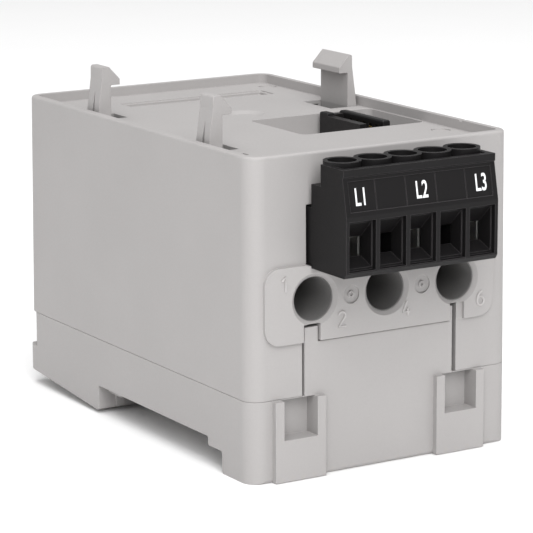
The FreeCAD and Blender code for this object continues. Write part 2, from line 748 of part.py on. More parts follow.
def board_screws():
    """Four pan-head screws from below into the posts."""
    screws = []
    for x, y in board_screw_places():
        head = rod(1.9, (x, y, BOARD_Z - 1.3), Z_AXIS, 1.3)
        head = rounded_edges(head, 0.4, at_level(BOARD_Z - 1.3))
        shank = rod(BOARD_SCREW_R, (x, y, BOARD_Z), Z_AXIS, BOARD_SCREW_L - 0.3)
        cross = box(about(x, 2.0), about(y, 0.5), (BOARD_Z - 2, BOARD_Z - 0.7))
        cross = cross.fuse(box(about(x, 0.5), about(y, 2.0), (BOARD_Z - 2, BOARD_Z - 0.7)))
        screws.append(head.fuse(shank).cut(cross).removeSplitter())
    return Part.makeCompound(screws)


def controller_chip():
    """A square flat pack with leads on its four sides."""
    x, y = CHIP_PLACE
    lead_w = LEAD_PITCH * 0.4
    lead_z = (BOARD_TOP, BOARD_TOP + 0.3)
    pieces = [box(about(x, CHIP_W), about(y, CHIP_W), (BOARD_TOP + 0.1, BOARD_TOP + 1.3))]
    for i in range(LEADS_A_SIDE):
        offset = (i - (LEADS_A_SIDE - 1) / 2) * LEAD_PITCH
        pieces.append(box(about(x + offset, lead_w), about(y, CHIP_W + 2 * LEAD_L), lead_z))
        pieces.append(box(about(x, CHIP_W + 2 * LEAD_L), about(y + offset, lead_w), lead_z))
    return joined(pieces)


def signal_chips():
    z = (BOARD_TOP, BOARD_TOP + 1.5)
    return Part.makeCompound([box(about(x, 5.0), about(y, 4.0), z) for x, y in SIGNAL_CHIP_PLACES])


def capacitors():
    cans = [rod(CAN_R, (x, y, BOARD_TOP), Z_AXIS, CAN_H) for x, y in CAN_PLACES]
    return Part.makeCompound([rounded_edges(can, 0.3, at_level(BOARD_TOP + CAN_H)) for can in cans])


def divider_resistors():
    """The chains that bring each measured voltage down to signal level."""
    width, length, height = RESISTOR
    parts = []
    for step in WIRED_POLES:
        x = about(pole_x(step) if step else -width, width)
        for row in range(RESISTOR_ROWS):
            y = about(row * RESISTOR_PITCH - 2 * RESISTOR_PITCH, length)
            parts.append(box(x, y, (BOARD_TOP, BOARD_TOP + height)))
    kept = [p for p in parts if p.BoundBox.XMax < LINK_X[0] - 0.4 or p.BoundBox.YMax < LINK_Y[0]]
    return Part.makeCompound(kept)


def link_connector():
    """The receptacle for the module above: two long walls, the right one higher, a post on the left one."""
    left = (LINK_X[0], LINK_X[0] + LINK_WALL)
    right = (LINK_X[1] - LINK_WALL, LINK_X[1])
    post_y = (LINK_Y[1] - LINK_POST_L, LINK_Y[1])
    body = joined([
        box(LINK_X, LINK_Y, (BOARD_TOP, LINK_TOP)),
        box(left, post_y, (LINK_TOP - DEEP, LINK_TOP + LINK_POST_H)),
        box(right, LINK_Y, (LINK_TOP - DEEP, LINK_TOP + LINK_STEP_H)),
    ])
    body = rounded_edges(body, 0.3, lambda b: b.ZMin > LINK_TOP + 0.1)
    slot_x = shrunk(LINK_X, LINK_WALL)
    slot = box(slot_x, shrunk(LINK_Y, DEEP), (BOARD_TOP + WALL, LINK_TOP + DEEP))
    open_front = box((LINK_X[0], slot_x[1]), about(LINK_Y[0], 2 * DEEP), (LINK_TOP - WALL, LINK_TOP + DEEP))
    return body.cut([slot, open_front] + [link_groove(x, y) for x, y in link_contact_places()])


def link_contact_places():
    first = LINK_Y[0] + LINK_PITCH
    return [(side, first + i * LINK_PITCH) for side in (-1, 1) for i in range(LINK_WAYS)]


def link_side(side, near, far):
    """The (low, high) pair between two distances from the connector's middle, on one side of it."""
    middle = (LINK_X[0] + LINK_X[1]) / 2
    return sorted((middle + side * near, middle + side * far))


def link_groove(side, y):
    return box(link_side(side, 1.0, 1.7), about(y, LINK_PITCH / 2), (BOARD_TOP - DEEP, LINK_TOP - 0.5))


def link_contacts():
    """Ten sprung blades in the receptacle's slot."""
    blades = []
    for side, y in link_contact_places():
        width = about(y, LINK_PITCH / 3)
        blade = box(link_side(side, 1.2, 1.5), width, (BOARD_TOP, LINK_TOP - 0.9))
        bulge = box(link_side(side, 0.7, 1.2), width, (LINK_TOP - 2.4, LINK_TOP - 1.6))
        blades.append(blade.fuse(bulge).removeSplitter())
    return Part.makeCompound(blades)


# ---- Plug header in the housing ----


def plug_header():
    inner_x = about(0, PLUG_W + 0.5)
    inner_z = (NOSE_Z[0] - 0.25, NOSE_Z[1] + 0.25)
    body = box(shrunk(inner_x, -HEADER_WALL), HEADER_Y, (inner_z[0] - HEADER_WALL, inner_z[1] + HEADER_WALL))
    body = body.cut(box(inner_x, (HEADER_Y[0] - 1, HEADER_Y[1] - HEADER_BACK_T), inner_z))
    holes = [box(about(pole_x(s), PIN), (-20, -16), about(WIRE_Z, PIN)) for s in WIRED_POLES]
    return body.cut(holes)


def header_pins():
    """Right-angle pins, from the plug's sockets up into the board."""
    pins = []
    for step in WIRED_POLES:
        x = about(pole_x(step), PIN)
        run = box(x, (HEADER_Y[0], HEADER_TAIL_Y + PIN / 2), about(WIRE_Z, PIN))
        tail = rod(PIN / 2, (pole_x(step), HEADER_TAIL_Y, WIRE_Z), Z_AXIS, BOARD_TOP + 0.8 - WIRE_Z)
        pins.append(run.fuse(tail).removeSplitter())
    return Part.makeCompound(pins)


# ---- Terminal plug ----
def plug_profile():
    """Side outline: slanted label face, stepped back and the nose that enters the header."""
    lip_y = PLUG_FRONT_Y + SLANT_RUN - 0.2
    return [
        (PLUG_FRONT_Y + 0.5, PLUG_BOTTOM, 0.3),
        (PLUG_FRONT_Y, PLUG_BOTTOM + 0.7, 0),
        (PLUG_FRONT_Y, SLANT_Z[0], 0),
        (PLUG_FRONT_Y + SLANT_RUN, SLANT_Z[1], 0),
        (lip_y, SLANT_Z[1] + 0.2, 0),
        (lip_y, PLUG_TOP, 0.15),
        (-29.9, PLUG_TOP, 0.15),
        (-29.9, 39.5, 0),
        (-27.5, 39.5, 0.15),
        (-27.5, NOSE_Z[1], 0),
        (NOSE_BACK_Y, NOSE_Z[1], 0.3),
        (NOSE_BACK_Y, NOSE_Z[0], 0.3),
        (-27.5, NOSE_Z[0], 0),
        (-27.5, PLUG_BOTTOM, 0),
    ]


def label_panel():
    """The shallow panel in the slanted face, and the upright grooves that divide it between poles."""
    slope = SLANT_RUN / (SLANT_Z[1] - SLANT_Z[0])
    low, high = (PLUG_FRONT_Y + (z - SLANT_Z[0]) * slope for z in PANEL_Z)
    half = PLUG_W / 2 - PANEL_MARGIN

    def slab(x, depth):
        points = [
            (low - DEEP, PANEL_Z[0], 0),
            (low + depth, PANEL_Z[0], 0),
            (high + depth, PANEL_Z[1], 0),
            (high - DEEP, PANEL_Z[1], 0),
        ]
        return prism(points, "yz", x[0], x[1])

    dividers = [slab(about(pole_x(step), 0.12), 1.7 * PANEL_DEPTH) for step in (-1.5, -0.5, 0.5, 1.5)]
    return [slab((-half, half), PANEL_DEPTH)] + dividers


def wire_funnel(x):
    """The tall mouth of a wire opening, narrowing to the throat at the clamp."""
    step = 0.9
    mouth = box(about(x, OPENING_W), (PLUG_FRONT_Y - DEEP, PLUG_FRONT_Y + step), OPENING_Z)
    wide = rectangle(about(x, OPENING_W - 0.3), shrunk(OPENING_Z, 0.3), 0)
    small = rectangle(about(x, THROAT_W), THROAT_Z, 0)
    ends = [outline(wide, "xz", PLUG_FRONT_Y + step - 0.1), outline(small, "xz", CHAMBER_Y[0] + 0.3)]
    return mouth.fuse(Part.makeLoft(ends, True, True))


def plug_chamber(x):
    return box(about(x, CHAMBER_W), CHAMBER_Y, CHAMBER_Z)


def screw_well(x):
    """The well for a screw's head, and the neck below it that the shank goes through."""
    well = rod(WELL_R, (x, SCREW_Y, WELL_FLOOR_Z), Z_AXIS, PLUG_TOP)
    return well.fuse(rod(SCREW_R + 2 * TUBE_GAP, (x, SCREW_Y, CHAMBER_Z[1] - DEEP), Z_AXIS, 2 * DEEP))


def pin_socket(x):
    width = SLEEVE_W + 0.3
    return box(about(x, width), (CHAMBER_Y[1] - 0.5, NOSE_BACK_Y + DEEP), about(WIRE_Z, width))


def collar(x):
    below = 3.0
    return rod(COLLAR_R, (x, SCREW_Y, PLUG_TOP - below), Z_AXIS, below + COLLAR_H)


def plug_housing():
    """The moulding: five collars stand in a sunk top behind a thin front ledge."""
    half = PLUG_W / 2
    sunk_z = PLUG_TOP - 0.9
    steps = range(-(POLES // 2), POLES // 2 + 1)
    body = prism(plug_profile(), "yz", -half, half)
    body = body.cut(box((-PLUG_W, PLUG_W), (PLUG_FRONT_Y - DEEP, -29.0), (sunk_z, PLUG_TOP + DEEP)))
    ledge = box((-half, half), (PLUG_FRONT_Y + 0.85, -34.6), (sunk_z - 0.1, PLUG_TOP))
    ends = [box(sorted((s * half, s * 12.0)), (-34.7, -29.9), (sunk_z - 0.1, PLUG_TOP)) for s in (-1, 1)]
    body = body.multiFuse([ledge] + ends + [collar(pole_x(step)) for step in steps])
    cuts = label_panel()
    for step in steps:
        x = pole_x(step)
        cuts += [wire_funnel(x), plug_chamber(x), screw_well(x), pin_socket(x)]
    return body.cut(cuts).removeSplitter()


def plug_contact(x):
    """The busbar above the wire, and the sprung sleeve that takes the header pin."""
    turn_y = (-28.2, -27.6)
    bar_top = BAR_Z + BAR_T
    bar = box(about(x, BAR_W), (CHAMBER_Y[0] + 1.1, turn_y[1]), (BAR_Z, bar_top))
    step_up = box(about(x, SLEEVE_W), turn_y, (WIRE_Z - SLEEVE_W / 2, bar_top))
    sleeve = box(about(x, SLEEVE_W), (turn_y[0], NOSE_BACK_Y - 0.4), about(WIRE_Z, SLEEVE_W))
    room = about(x, PIN + 0.3)
    sleeve = sleeve.cut(box(room, (turn_y[1], NOSE_BACK_Y), about(WIRE_Z, PIN + 0.3)))
    return joined([bar, step_up, sleeve])


def clamp_cage(x):
    """A square loop that rises as the screw turns, and pinches the wire under the busbar."""
    through = (CAGE_Y[0] - DEEP, CAGE_Y[1] + DEEP)
    window_top = CAGE_REST_Z + CAGE_H - CAGE_TOP_T
    cage = box(about(x, CAGE_W), CAGE_Y, (CAGE_REST_Z, CAGE_REST_Z + CAGE_H))
    window = box(about(x, CAGE_W - 2 * CAGE_T), through, (CAGE_REST_Z + CAGE_T, window_top))
    thread = rod(SCREW_R + TUBE_GAP, (x, SCREW_Y, window_top - DEEP), Z_AXIS, CAGE_TOP_T + 2 * DEEP)
    return cage.cut([window, thread])


def clamp_screw(x):
    tip_z = BAR_Z + BAR_T + 0.2
    slot_z = (HEAD_Z + 0.7, HEAD_Z + HEAD_H + DEEP)
    head = rod(HEAD_R, (x, SCREW_Y, HEAD_Z), Z_AXIS, HEAD_H)
    head = rounded_edges(head, 0.3, at_level(HEAD_Z + HEAD_H))
    slot = box(about(x, 3 * HEAD_R), about(SCREW_Y, 0.7), slot_z)
    shank = rod(SCREW_R, (x, SCREW_Y, tip_z), Z_AXIS, HEAD_Z - tip_z)
    return head.cut(slot).fuse(shank).removeSplitter()


# ---- Assembly ----
def build_parts():
    parts = {
        "upper_housing": upper_housing(),
        "base_housing": base_housing(),
        "rail_clip": rail_clip(),
        "rail_clip_spring": clip_spring(),
        "ground_fault_core": ground_fault_core(),
        "ground_fault_winding": ground_fault_winding(),
        "sensor_carrier": sensor_carrier(),
        "winding_pins": winding_pins(),
        "main_board": main_board(),
        "board_screws": board_screws(),
        "controller_chip": controller_chip(),
        "signal_chips": signal_chips(),
        "capacitors": capacitors(),
        "divider_resistors": divider_resistors(),
        "link_connector": link_connector(),
        "link_contacts": link_contacts(),
        "plug_header": plug_header(),
        "header_pins": header_pins(),
        "plug_housing": plug_housing(),
    }
    for name, data in LATCHES.items():
        parts[name] = latch(**data)
    for side, x in zip(("left", "middle", "right"), bore_centres()):
        parts["conductor_tube_" + side] = conductor_tube(x)
        parts["current_core_" + side] = current_core(x, CORE_Y[side])
        parts["current_winding_" + side] = current_winding(x, CORE_Y[side])
    for number, step in enumerate(WIRED_POLES, start=1):
        parts["plug_contact_%d" % number] = plug_contact(pole_x(step))
        parts["clamp_cage_%d" % number] = clamp_cage(pole_x(step))
        parts["clamp_screw_%d" % number] = clamp_screw(pole_x(step))
    return parts


def main():
    os.makedirs("parts", exist_ok=True)
    for name, shape in build_parts().items():
        shape.exportStep("parts/%s.step" % name)
        print(name, len(shape.Solids), round(shape.Volume, 2), shape.isValid())


main()
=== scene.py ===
"""The looks of the relay's sensing base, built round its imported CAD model.

Lengths are metres in the model's own frame, and MM turns millimetres into them. Colours are linear
red, green and blue. Each material is made of nodes that read the object's own coordinates, so its
detail has the same scale on every piece.
"""
import json
import math

import bpy

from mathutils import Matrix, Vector


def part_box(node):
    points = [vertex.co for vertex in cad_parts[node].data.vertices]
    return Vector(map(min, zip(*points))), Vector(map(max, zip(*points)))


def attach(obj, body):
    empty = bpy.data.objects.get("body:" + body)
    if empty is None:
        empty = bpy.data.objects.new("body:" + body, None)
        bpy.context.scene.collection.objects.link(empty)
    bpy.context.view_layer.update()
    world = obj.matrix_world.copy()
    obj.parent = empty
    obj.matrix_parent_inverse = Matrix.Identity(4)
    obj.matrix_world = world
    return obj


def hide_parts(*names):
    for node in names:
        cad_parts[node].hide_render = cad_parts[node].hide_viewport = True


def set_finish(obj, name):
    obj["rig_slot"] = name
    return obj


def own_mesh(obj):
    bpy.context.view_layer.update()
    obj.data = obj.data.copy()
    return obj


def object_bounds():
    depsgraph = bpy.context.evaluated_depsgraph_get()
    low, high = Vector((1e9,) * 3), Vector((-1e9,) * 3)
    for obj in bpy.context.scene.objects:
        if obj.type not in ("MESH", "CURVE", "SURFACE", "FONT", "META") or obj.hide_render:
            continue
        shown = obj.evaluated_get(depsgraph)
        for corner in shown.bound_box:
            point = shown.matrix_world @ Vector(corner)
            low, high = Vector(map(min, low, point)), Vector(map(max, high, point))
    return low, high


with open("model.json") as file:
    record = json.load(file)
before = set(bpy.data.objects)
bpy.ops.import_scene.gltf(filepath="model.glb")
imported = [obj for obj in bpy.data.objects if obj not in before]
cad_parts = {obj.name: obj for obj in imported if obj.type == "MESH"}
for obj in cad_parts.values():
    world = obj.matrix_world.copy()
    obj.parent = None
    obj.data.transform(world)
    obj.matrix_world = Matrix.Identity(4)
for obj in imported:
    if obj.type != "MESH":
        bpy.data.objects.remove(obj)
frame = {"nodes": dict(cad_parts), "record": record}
CAD_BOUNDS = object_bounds()
MM = 0.001
NODES = frame["nodes"]
RECORD = frame["record"]
MOUNTS = {m["name"]: m for m in RECORD["mounts"]}
SIDES = ("left", "middle", "right")

# ---- Colours ----
WHITE = (1.0, 1.0, 1.0)
GREY = (0.380, 0.366, 0.362)
# Painted highlight: the raised figures are the housing grey, lightened by a fifth.
FIGURE_HIGHLIGHT_GREY = tuple(1.2 * c for c in GREY)
# Painted shade: the bore tubes are darkened well below the housing grey so that the bores' insides look
# dark.
BORE_SHADE_GREY = (0.20, 0.195, 0.192)
BLACK = (0.0095, 0.0088, 0.0092)
CARRIER_BLACK = (0.045, 0.045, 0.045)
RESISTOR_BLACK = (0.03, 0.03, 0.035)
EPOXY_BLACK = ((0.022, 0.022, 0.024, 1), (0.04, 0.04, 0.042, 1))
LEAD_TIN = (0.7, 0.7, 0.68, 1)
COPPER = (0.62, 0.25, 0.09)
SOLDER_MASK = (0.012, 0.10, 0.035, 1)
COVERED_TRACK = (0.03, 0.19, 0.06, 1)
GLASS_CORE = ((0.42, 0.38, 0.20, 1), (0.55, 0.52, 0.32, 1))
INK_WHITE = (0.85, 0.86, 0.88)

# ---- Ranges: most values of a noise texture lie inside the three spans ----
UNIT = (0.0, 1.0)
NOISE_SPAN = (0.3, 0.7)
MOTTLE_SPAN = (0.35, 0.65)
STAIN_SPAN = (0.35, 0.7)

# ---- Edges: the softened normal's dot product with the true one, from edge to flat ----
EDGE_DOTS = (0.75, 0.995)
BEVEL_SAMPLES = 4

# ---- Moulded plastic: tones are factors on the base colour ----
MOTTLE_MM = 14.0
MOTTLE_TONES = (0.985, 1.015)
SPECKLE_SHARE = 0.06
SPECKLE_TONE = 0.7
ROUGHNESS_SWING = 0.05
# How much of each plastic's edge tone is mixed in along its edges: a painted highlight.
EDGE_HIGHLIGHT_SHARE = 0.8
EDGE_POLISH = 0.15
WAVE_GRAINS = 9.0
WAVE_WEIGHT = 1.5
PLASTICS = {
    "housing_grey": dict(
        colour=GREY, roughness=0.55, grain_mm=0.35, relief_mm=0.018,
        edge_mm=0.14, edge_highlight_tone=1.45, specular=0.35,
    ),
    "terminal_black": dict(
        colour=BLACK, roughness=0.45, grain_mm=0.30, relief_mm=0.012,
        edge_mm=0.11, edge_highlight_tone=11.0, specular=0.16,
    ),
    "connector_black": dict(
        colour=BLACK, roughness=0.40, grain_mm=0.25, relief_mm=0.008,
        edge_mm=0.10, edge_highlight_tone=11.0, specular=0.3,
    ),
    "carrier_black": dict(
        colour=CARRIER_BLACK, roughness=0.5, grain_mm=0.3, relief_mm=0.012,
        edge_mm=0.10, edge_highlight_tone=1.6, specular=0.5,
    ),
    "resistor_black": dict(
        colour=RESISTOR_BLACK, roughness=0.35, grain_mm=0.2, relief_mm=0.006,
        edge_mm=0.05, edge_highlight_tone=1.8, specular=0.5,
    ),
    "tube_shade_grey": dict(
        colour=BORE_SHADE_GREY, roughness=0.5, grain_mm=0.35, relief_mm=0.012,
        edge_mm=0.10, edge_highlight_tone=1.3, specular=0.3,
    ),
    "figure_highlight_grey": dict(
        colour=FIGURE_HIGHLIGHT_GREY, roughness=0.4, grain_mm=0.35, relief_mm=0.01,
        edge_mm=0.05, edge_highlight_tone=1.2, specular=0.4,
    ),
}

# ---- Metal: stretch is how dense the tool lines are along each axis ----
METAL_EDGE_MM = 0.08
METAL_EDGE_TONE = 1.15
METAL_ROUGHNESS_STEPS = (-0.08, 0.12)
STAIN_TONES = (1.0, 0.82)
TOOL_LINES_PER_M = 4000.0
METALS = {
    "capacitor_can": dict(colour=(0.75, 0.75, 0.77), roughness=0.28, stretch=(1, 1, 12)),
    "core_metal": dict(colour=(0.26, 0.26, 0.28), roughness=0.45, stretch=(0.3, 6, 0.3)),
    "contact_gold": dict(colour=(0.90, 0.62, 0.22), roughness=0.22, stretch=(1, 1, 8)),
    "contact_tin": dict(colour=(0.60, 0.60, 0.58), roughness=0.35, stretch=(1, 8, 1)),
    "clamp_steel": dict(colour=(0.50, 0.50, 0.48), roughness=0.38, stretch=(6, 1, 1)),
    "spring_steel": dict(colour=(0.55, 0.55, 0.57), roughness=0.25, stretch=(1, 10, 1)),
}

# ---- Board, winding, chip and ink ----
TRACKS_PER_M = 180.0
EDGE_TO_FACE = (0.5, 0.9)
ENAMEL_TONES = (0.8, 1.1)
CHIP_LEAD = Vector((1.0, 1.0, 0.0)) * MM
EPOXY_AND_TIN_ROUGHNESS = (0.55, 0.3)
INK_TONES = (0.94, 1.0)
INK_ROUGHNESS = (0.5, 0.62)

# ---- Figures raised on the number plate, placed from the middles of the bores ----
FIGURE_H = 2.15 * MM
FIGURE_STROKE_R = 0.17 * MM
FIGURE_RISE = 0.07 * MM
FIGURE_CELL_MIDDLE = (0.28, 0.5)
FIGURE_PLACES = {
    "1": ("left", (-5.1, 2.7)),
    "2": ("middle", (-7.7, -3.4)),
    "4": ("middle", (3.3, -3.2)),
    "6": ("right", (4.25, -3.3)),
}

# ---- Phase names printed on the plug's slanted face, which runs from LABEL_LOW to LABEL_HIGH ----
LABEL_LOW = Vector((0.0, -36.35, 36.1)) * MM
LABEL_HIGH = Vector((0.0, -35.30, 41.4)) * MM
LABEL_RISE = 0.47
LABEL_H = 2.5 * MM
LABEL_SHIFT = 0.1 * MM
LABEL_NARROWING = 0.60
LABEL_SPACING = 1.05
CAPITAL_SHARE = 0.72
STROKE_GROWTH = 0.045 * MM
INK_T = 0.012 * MM

# ---- Rail clip spring ----
SPRING_LEAVES = 5
SPRING_WIRE_R = 0.17 * MM

# ---- Studio: angles in degrees, distances and sizes in metres, power in watts ----
AZIMUTH, ELEVATION, ROLL = -31.447, 12.447, -0.219
DISTANCE = 421.87 * MM
TARGET = Vector((1.477, 8.0, 19.355)) * MM
LENS_MM, SENSOR_MM = 184.2, 36.0
CLIP_NEAR, CLIP_FAR = 0.01, 20.0
LIGHTS = {
    "key": dict(azimuth=-22.0, elevation=38.0, distance=0.9, size=(0.7, 0.7), power=7.0),
    "fill": dict(azimuth=-95.0, elevation=30.0, distance=1.0, size=(0.9, 0.7), power=0.6),
    "top": dict(azimuth=0.0, elevation=88.0, distance=1.0, size=(1.2, 1.2), power=8.4),
}
SURROUND_STRENGTH = 0.38
FLOOR_HALF = 6.0
FLOOR_TONES = (0.96, 0.975)


# ---- Node helpers ----
def new_material(name):
    """A material, its tree and its principled shader."""
    material = bpy.data.materials.new(name)
    material.use_nodes = True
    tree = material.node_tree
    return material, tree, tree.nodes["Principled BSDF"]


def connect(tree, socket, value):
    """Link another node's output to the socket, or set the socket to a plain value."""
    if isinstance(value, bpy.types.NodeSocket):
        tree.links.new(value, socket)
    else:
        socket.default_value = value


def add(tree, kind, settings=None, **inputs):
    """A node with its settings and inputs; an underscore in an input's name stands for a space."""
    node = tree.nodes.new("ShaderNode" + kind)
    for key, value in (settings or {}).items():
        setattr(node, key, value)
    for key, value in inputs.items():
        connect(tree, node.inputs[key.replace("_", " ")], value)
    return node


def maths(tree, operation, first, second=0.0):
    node = add(tree, "Math", {"operation": operation})
    connect(tree, node.inputs[0], first)
    connect(tree, node.inputs[1], second)
    return node.outputs[0]


def spread(tree, value, span, target):
    """The value, brought from span to target and kept inside it."""
    node = add(tree, "MapRange", {"clamp": True})
    for index, part in enumerate((value, *span, *target)):
        connect(tree, node.inputs[index], part)
    return node.outputs[0]


def own_coordinates(tree):
    return add(tree, "TexCoord").outputs["Object"]


def noise(tree, size_mm, detail=2.0, roughness=0.5):
    """Noise whose blotches are about size_mm across."""
    scale = 1.0 / (size_mm * MM)
    inputs = {"Vector": own_coordinates(tree), "Scale": scale, "Detail": detail, "Roughness": roughness}
    return add(tree, "TexNoise", None, **inputs).outputs["Fac"]


def blend_colours(tree, share, first, second):
    """The first colour where the share is 0 and the second where it is 1."""
    node = add(tree, "Mix", {"data_type": "RGBA"})
    connect(tree, node.inputs["Factor"], share)
    connect(tree, node.inputs[6], first)
    connect(tree, node.inputs[7], second)
    return node.outputs[2]


def shade(colour, factor):
    return tuple(min(1.0, c * factor) for c in colour) + (1.0,)


def edge_share(tree, radius_mm):
    """Near 1 along convex and concave edges, and 0 on flat faces; and the softened normal itself."""
    soft = add(tree, "Bevel", {"samples": BEVEL_SAMPLES}, Radius=radius_mm * MM).outputs["Normal"]
    flat = add(tree, "NewGeometry").outputs["Normal"]
    dot = add(tree, "VectorMath", {"operation": "DOT_PRODUCT"})
    connect(tree, dot.inputs[0], soft)
    connect(tree, dot.inputs[1], flat)
    return spread(tree, dot.outputs["Value"], EDGE_DOTS, (1.0, 0.0)), soft


def bumped(tree, shader, height, strength, relief_mm, normal=None):
    """Give the shader a relief of this height, on top of the normal if there is one."""
    base = {} if normal is None else {"Normal": normal}
    bump = add(tree, "Bump", None, Height=height, Strength=strength, Distance=relief_mm * MM, **base)
    connect(tree, shader.inputs["Normal"], bump.outputs["Normal"])


# ---- Materials ----
def moulded_plastic(name, colour, roughness, grain_mm, relief_mm, edge_mm, edge_highlight_tone, specular):
    """Injection-moulded plastic: an eroded mould texture, faint flow mottling, polished edges and a
    painted highlight along the edges.
    """
    material, tree, shader = new_material(name)
    edge, soft_normal = edge_share(tree, edge_mm)
    mottle = noise(tree, MOTTLE_MM, detail=3.0)
    speckle = noise(tree, grain_mm, detail=3.0, roughness=0.6)
    dark, light = (shade(colour, tone) for tone in MOTTLE_TONES)
    base = blend_colours(tree, spread(tree, mottle, MOTTLE_SPAN, UNIT), dark, light)
    speckle_share = spread(tree, speckle, NOISE_SPAN, (0.0, SPECKLE_SHARE))
    speckled = blend_colours(tree, speckle_share, base, shade(colour, SPECKLE_TONE))
    # Painted highlight: the colour is lightened towards the edge tone along convex and concave edges.
    edge_highlight_share = maths(tree, "MULTIPLY", edge, EDGE_HIGHLIGHT_SHARE)
    edged = blend_colours(tree, edge_highlight_share, speckled, shade(colour, edge_highlight_tone))
    connect(tree, shader.inputs["Base Color"], edged)
    swing = (roughness - ROUGHNESS_SWING, roughness + ROUGHNESS_SWING)
    rough = spread(tree, speckle, NOISE_SPAN, swing)
    polish = maths(tree, "MULTIPLY", edge, EDGE_POLISH)
    connect(tree, shader.inputs["Roughness"], maths(tree, "SUBTRACT", rough, polish))
    waviness = noise(tree, grain_mm * WAVE_GRAINS, detail=1.0)
    height = maths(tree, "ADD", speckle, maths(tree, "MULTIPLY", waviness, WAVE_WEIGHT))
    bumped(tree, shader, height, strength=0.35, relief_mm=relief_mm, normal=soft_normal)
    shader.inputs["Specular IOR Level"].default_value = specular
    return material


def worked_metal(name, colour, roughness, stretch):
    """Plated or bright metal, with fine tool lines and faint stains."""
    material, tree, shader = new_material(name)
    edge, soft_normal = edge_share(tree, METAL_EDGE_MM)
    mapped = add(tree, "Mapping", None, Vector=own_coordinates(tree), Scale=stretch).outputs["Vector"]
    lines = add(tree, "TexNoise", None, Vector=mapped, Scale=TOOL_LINES_PER_M, Detail=3.0).outputs["Fac"]
    stain = noise(tree, size_mm=1.6, detail=4.0, roughness=0.65)
    clean, stained = (shade(colour, tone) for tone in STAIN_TONES)
    base = blend_colours(tree, spread(tree, stain, STAIN_SPAN, UNIT), clean, stained)
    edged = blend_colours(tree, edge, base, shade(colour, METAL_EDGE_TONE))
    connect(tree, shader.inputs["Base Color"], edged)
    swing = tuple(roughness + step for step in METAL_ROUGHNESS_STEPS)
    connect(tree, shader.inputs["Roughness"], spread(tree, lines, NOISE_SPAN, swing))
    bumped(tree, shader, lines, strength=0.4, relief_mm=0.01, normal=soft_normal)
    shader.inputs["Metallic"].default_value = 1.0
    return material


def enamelled_winding(name, colour):
    """Enamelled copper wire."""
    material, tree, shader = new_material(name)
    stain = spread(tree, noise(tree, size_mm=0.8, detail=3.0), NOISE_SPAN, UNIT)
    dark, light = (shade(colour, tone) for tone in ENAMEL_TONES)
    base = blend_colours(tree, stain, dark, light)
    connect(tree, shader.inputs["Base Color"], base)
    shader.inputs["Metallic"].default_value = 0.85
    shader.inputs["Roughness"].default_value = 0.3
    shader.inputs["Coat Weight"].default_value = 0.6
    shader.inputs["Coat Roughness"].default_value = 0.12
    return material


def circuit_board(name):
    """Green solder mask with copper tracks showing through it, and glass weave at the cut edges."""
    material, tree, shader = new_material(name)
    tracks = add(
        tree, "TexBrick", {"offset": 0.37, "squash": 0.6, "squash_frequency": 3},
        Vector=own_coordinates(tree), Scale=TRACKS_PER_M, Color1=(0, 0, 0, 1), Color2=(0, 0, 0, 1),
        Mortar=(1, 1, 1, 1), Mortar_Size=0.035, Bias=0.0, Brick_Width=0.9, Row_Height=0.35,
    ).outputs["Color"]
    mask = blend_colours(tree, tracks, SOLDER_MASK, COVERED_TRACK)
    normal = add(tree, "NewGeometry").outputs["Normal"]
    upward = add(tree, "SeparateXYZ", None, Vector=normal).outputs["Z"]
    on_face = spread(tree, maths(tree, "ABSOLUTE", upward), EDGE_TO_FACE, UNIT)
    core = blend_colours(tree, noise(tree, size_mm=0.3, detail=4.0), *GLASS_CORE)
    connect(tree, shader.inputs["Base Color"], blend_colours(tree, on_face, core, mask))
    bumped(tree, shader, tracks, strength=0.6, relief_mm=0.03)
    shader.inputs["Roughness"].default_value = 0.32
    return material


def leaded_package(name, body_low, body_high):
    """Black moulded epoxy inside a box, and tinned leads outside it."""
    material, tree, shader = new_material(name)
    axes = add(tree, "SeparateXYZ", None, Vector=own_coordinates(tree)).outputs
    past = []
    for axis in (0, 1):
        middle = (body_low[axis] + body_high[axis]) / 2
        half = (body_high[axis] - body_low[axis]) / 2
        away = maths(tree, "ABSOLUTE", maths(tree, "SUBTRACT", axes[axis], middle))
        past.append(maths(tree, "GREATER_THAN", away, half))
    outside = maths(tree, "MAXIMUM", *past)
    grain = noise(tree, size_mm=0.12, detail=3.0)
    epoxy = blend_colours(tree, grain, *EPOXY_BLACK)
    connect(tree, shader.inputs["Base Color"], blend_colours(tree, outside, epoxy, LEAD_TIN))
    connect(tree, shader.inputs["Metallic"], outside)
    connect(tree, shader.inputs["Roughness"], spread(tree, outside, UNIT, EPOXY_AND_TIN_ROUGHNESS))
    bumped(tree, shader, grain, strength=0.3, relief_mm=0.02)
    return material


def printed_ink(name, colour):
    """Pad-printed ink: opaque, with pin-hole variation."""
    material, tree, shader = new_material(name)
    pores = noise(tree, size_mm=0.15)
    open_tone, full_tone = (shade(colour, tone) for tone in INK_TONES)
    connect(tree, shader.inputs["Base Color"], blend_colours(tree, pores, open_tone, full_tone))
    connect(tree, shader.inputs["Roughness"], spread(tree, pores, NOISE_SPAN, INK_ROUGHNESS))
    return material


def floor_surface(name):
    """Matte white studio sweep."""
    material, tree, shader = new_material(name)
    dark, light = (shade(WHITE, tone) for tone in FLOOR_TONES)
    base = blend_colours(tree, noise(tree, size_mm=30.0), dark, light)
    connect(tree, shader.inputs["Base Color"], base)
    shader.inputs["Roughness"].default_value = 0.9
    shader.inputs["Specular IOR Level"].default_value = 0.1
    return material


